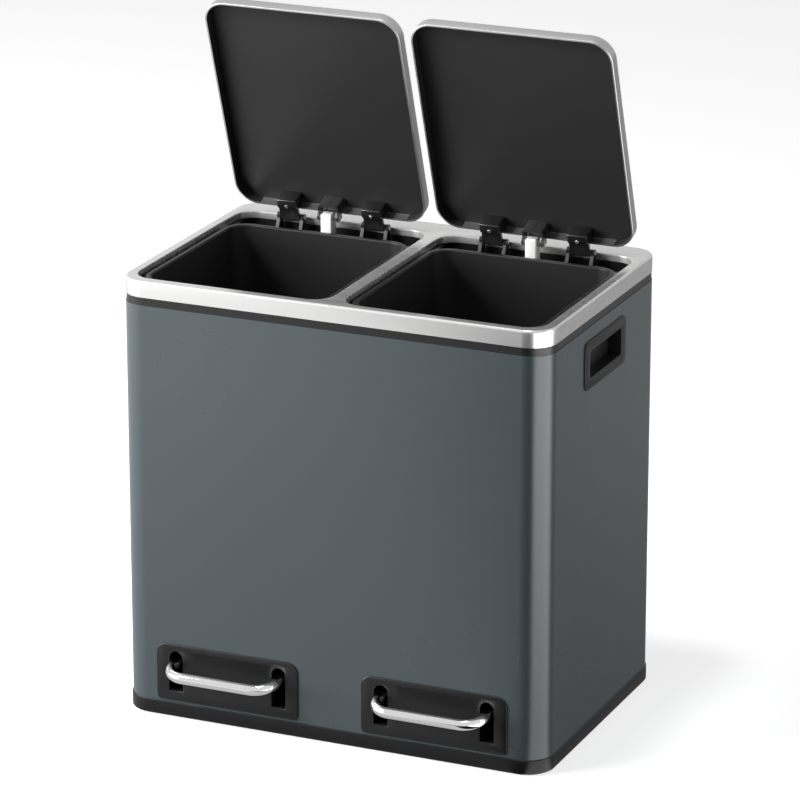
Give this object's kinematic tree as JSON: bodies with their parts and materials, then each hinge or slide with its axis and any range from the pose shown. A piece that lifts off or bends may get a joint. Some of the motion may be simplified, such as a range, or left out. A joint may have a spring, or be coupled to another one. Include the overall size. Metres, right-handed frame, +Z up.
{
  "type": "double recycling bin",
  "caption": "Two-compartment pedal bin with lift-out buckets, hinged lids raised by foot bars through push rods, and recessed side grips.",
  "frame": {"origin": "middle of the bounding box, on the floor under the feet", "axes": "+X to the right seen from the pedals, +Y to the back, away from the pedals, +Z up"},
  "size_m": [0.584, 0.4296, 0.8898],
  "materials": {
    "sleeve": "smooth dark slate grey stoving paint, satin",
    "base": "moulded black plastic, fine matt",
    "collar": "moulded black plastic, satin",
    "ring": "satin stainless sheet",
    "lid_steel": "satin stainless sheet",
    "lid_lining": "dark grey moulded lining, fine matt",
    "bucket": "black polypropylene",
    "hinge_plastic": "black moulded nylon",
    "nylon": "natural white nylon",
    "grip": "moulded black plastic",
    "pedal_plate": "moulded black plastic",
    "pedal_chrome": "polished chrome plate",
    "zinc": "zinc-plated pressed steel",
    "screw": "zinc-plated steel",
    "foot": "black rubber"
  },
  "bodies": {
    "housing": {"body_shell": "sleeve", "base_moulding": "base", "collar_frame": "collar", "trim_ring": "ring", "seat_screws": "screw", "bracket_screws": "screw", "foot_front_left": "foot", "foot_front_right": "foot", "foot_rear_left": "foot", "foot_rear_right": "foot", "hinge_seat_left_outer": "hinge_plastic", "hinge_pin_left_outer": "zinc", "hinge_seat_left_inner": "hinge_plastic", "hinge_pin_left_inner": "zinc", "rod_bush_left": "hinge_plastic", "rod_guide_left": "zinc", "pedal_plate_left": "pedal_plate", "pedal_bracket_left": "zinc", "pivot_pin_left": "zinc", "side_handle_left": "grip", "hinge_seat_right_outer": "hinge_plastic", "hinge_pin_right_outer": "zinc", "hinge_seat_right_inner": "hinge_plastic", "hinge_pin_right_inner": "zinc", "rod_bush_right": "hinge_plastic", "rod_guide_right": "zinc", "pedal_plate_right": "pedal_plate", "pedal_bracket_right": "zinc", "pivot_pin_right": "zinc", "side_handle_right": "grip"},
    "lid_left": {"lid_pan_left": "lid_steel", "lid_liner_left": "lid_lining", "hinge_leaf_left_outer": "hinge_plastic", "hinge_leaf_left_inner": "hinge_plastic", "hinge_screws_left": "screw", "lever_bracket_left": "hinge_plastic", "lever_pin_left": "nylon"},
    "pedal_left": {"pedal_bar_left": "pedal_chrome", "pedal_lever_left": "zinc"},
    "rod_left": {"rod_head_left": "nylon", "push_rod_left": "zinc"},
    "bucket_left": {"bucket_left": "bucket"},
    "lid_right": {"lid_pan_right": "lid_steel", "lid_liner_right": "lid_lining", "hinge_leaf_right_outer": "hinge_plastic", "hinge_leaf_right_inner": "hinge_plastic", "hinge_screws_right": "screw", "lever_bracket_right": "hinge_plastic", "lever_pin_right": "nylon"},
    "pedal_right": {"pedal_bar_right": "pedal_chrome", "pedal_lever_right": "zinc"},
    "rod_right": {"rod_head_right": "nylon", "push_rod_right": "zinc"},
    "bucket_right": {"bucket_right": "bucket"}
  },
  "joints": [
    {"name": "lid_hinge_left", "type": "hinge", "parent": "housing", "child": "lid_left", "pos_m": [-0.14275, 0.16043, 0.582], "axis": [1, 0, 0], "range_deg": [0, 71]},
    {"name": "pedal_pivot_left", "type": "hinge", "parent": "housing", "child": "pedal_left", "pos_m": [-0.14275, -0.08492, 0.08626], "axis": [1, 0, 0], "range_deg": [-5.25, 0]},
    {"name": "rod_slide_left", "type": "slide", "parent": "housing", "child": "rod_left", "axis": [0, 0, 1], "range_m": [-0.02095, 0]},
    {"name": "bucket_lift_left", "type": "slide", "parent": "housing", "child": "bucket_left", "axis": [0, 0, 1], "range_m": [0, 0.018]},
    {"name": "lid_hinge_right", "type": "hinge", "parent": "housing", "child": "lid_right", "pos_m": [0.14275, 0.16043, 0.582], "axis": [1, 0, 0], "range_deg": [0, 71]},
    {"name": "pedal_pivot_right", "type": "hinge", "parent": "housing", "child": "pedal_right", "pos_m": [0.14275, -0.08492, 0.08626], "axis": [1, 0, 0], "range_deg": [-5.25, 0]},
    {"name": "rod_slide_right", "type": "slide", "parent": "housing", "child": "rod_right", "axis": [0, 0, 1], "range_m": [-0.02095, 0]},
    {"name": "bucket_lift_right", "type": "slide", "parent": "housing", "child": "bucket_right", "axis": [0, 0, 1], "range_m": [0, 0.018]}
  ],
  "couplings": [
    {"joint": "pedal_pivot_left", "follows": "lid_hinge_left", "ratio": -0.073746},
    {"joint": "rod_slide_left", "follows": "lid_hinge_left", "m_per_rad": -0.01687},
    {"joint": "pedal_pivot_right", "follows": "lid_hinge_right", "ratio": -0.073746},
    {"joint": "rod_slide_right", "follows": "lid_hinge_right", "m_per_rad": -0.01687}
  ]
}
